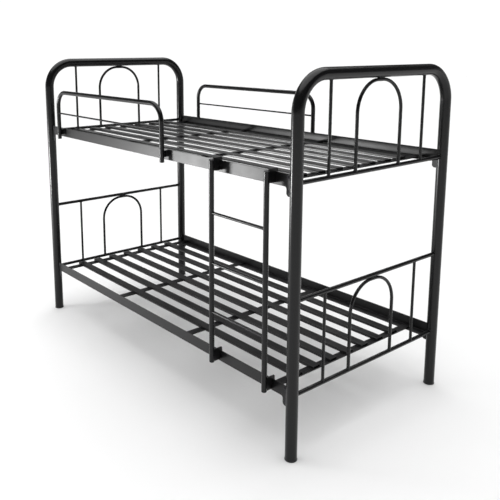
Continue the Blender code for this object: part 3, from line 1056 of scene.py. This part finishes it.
# ------------------------------------------------------------------ operator: stage
class BED_OT_stage(Operator):
    """Set up the pale floor, the soft lights and the camera"""

    bl_idname = "bed.stage"
    bl_label = "Stage"

    def execute(self, context):
        studio = context.scene.bed_studio
        lay_floor(studio)
        hang_backdrop(studio)
        overhead = bpy.data.lights.new("overhead", "SUN")
        overhead.energy = studio.sun
        overhead.angle = studio.spread
        hang_lamp(overhead, studio.overhead_place, studio.overhead_aim)
        softbox = bpy.data.lights.new("side_softbox", "AREA")
        softbox.shape = "RECTANGLE"
        softbox.size, softbox.size_y = studio.softbox_size
        softbox.energy = studio.side
        hang_lamp(softbox, studio.softbox_place, studio.softbox_aim)
        place_camera(studio)
        context.scene.view_settings.view_transform = "Standard"
        return {"FINISHED"}


def lay_floor(studio):
    """The floor: one wide level sheet, a hair below the bed's feet."""
    half = studio.floor_size / 2
    outline = [(-half, -half, 0), (half, -half, 0), (half, half, 0), (-half, half, 0)]
    mesh = bpy.data.meshes.new("studio_floor")
    mesh.from_pydata(outline, [], [(0, 1, 2, 3)])
    mesh.materials.append(finish_of("floor"))
    floor = bpy.data.objects.new("studio_floor", mesh)
    bpy.context.scene.collection.objects.link(floor)
    floor.location.z = -0.0005


def hang_backdrop(studio):
    """The room: a low white backdrop on the far side, and dim elsewhere, so that glossy black stays black."""
    world = bpy.data.worlds.new("room")
    bpy.context.scene.world = world
    net = Net(world)
    where = net.out("ShaderNodeTexCoord", output="Generated")
    far = net.out("ShaderNodeVectorMath", {"operation": "DOT_PRODUCT"}, {0: where, 1: (-0.78, 0.62, 0.0)}, 1)
    height = net.out("ShaderNodeSeparateXYZ", None, {0: where}, output=2)
    white = far.between(0.0, 0.55) * (1.0 - height.between(0.09, 0.26))
    back = net.tree.nodes["Background"]
    net.feed(back.inputs["Color"], (1.0, 1.0, 1.0, 1.0))
    net.feed(back.inputs["Strength"], studio.shade + white * (studio.backdrop - studio.shade))


def hang_lamp(light, place, target):
    """Hang a light so that it faces a target."""
    lamp = bpy.data.objects.new(light.name, light)
    bpy.context.scene.collection.objects.link(lamp)
    lamp.location = place
    aim = np.asarray(target, float) - np.asarray(place, float)
    lamp.rotation_euler = (math.atan2(math.hypot(aim[0], aim[1]), -aim[2]), 0, math.atan2(-aim[0], aim[1]))


def place_camera(studio):
    """The camera, tilted down, with its view shifted a little down and to the left."""
    lens = bpy.data.cameras.new("view_camera")
    lens.lens = studio.lens
    lens.sensor_width = 36.0
    lens.shift_x, lens.shift_y = studio.shift
    camera = bpy.data.objects.new("view_camera", lens)
    bpy.context.scene.collection.objects.link(camera)
    camera.location = studio.eye
    camera.rotation_euler = (studio.tilt, 0, studio.turn)
    bpy.context.scene.camera = camera


# ------------------------------------------------------------------ panel and registration
BUILD_ORDER = (
    BED_OT_end_hoops, BED_OT_end_infill, BED_OT_side_rails, BED_OT_decks, BED_OT_guards,
    BED_OT_ladder, BED_OT_welds, BED_OT_bolts, BED_OT_stage,
)
SETTINGS = {"bed_shape": BedShape, "bed_coat": BedCoat, "bed_studio": StudioSetup}


class BED_PT_sidebar(Panel):
    """Lists the bed's pieces and settings"""

    bl_label = "Bunk Bed"
    bl_idname = "BED_PT_sidebar"
    bl_space_type = "VIEW_3D"
    bl_region_type = "UI"
    bl_category = "Bunk Bed"

    def draw(self, context):
        for operator in BUILD_ORDER:
            self.layout.operator(operator.bl_idname)
        for name, group in SETTINGS.items():
            box = self.layout.box()
            for key in group.__annotations__:
                box.prop(getattr(context.scene, name), key)


CLASSES = (*SETTINGS.values(), *BUILD_ORDER, BED_PT_sidebar)


def register():
    """Register the classes and hang the settings on the scene."""
    for item in CLASSES:
        bpy.utils.register_class(item)
    for name, group in SETTINGS.items():
        setattr(bpy.types.Scene, name, PointerProperty(type=group))


def unregister():
    """Take the settings and classes away again."""
    for name in SETTINGS:
        delattr(bpy.types.Scene, name)
    for item in reversed(CLASSES):
        bpy.utils.unregister_class(item)


def main():
    """Build every piece and the stage."""
    register()
    for operator in BUILD_ORDER:
        group, name = operator.bl_idname.split(".")
        getattr(getattr(bpy.ops, group), name)()
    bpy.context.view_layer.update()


if __name__ == "__main__":
    main()
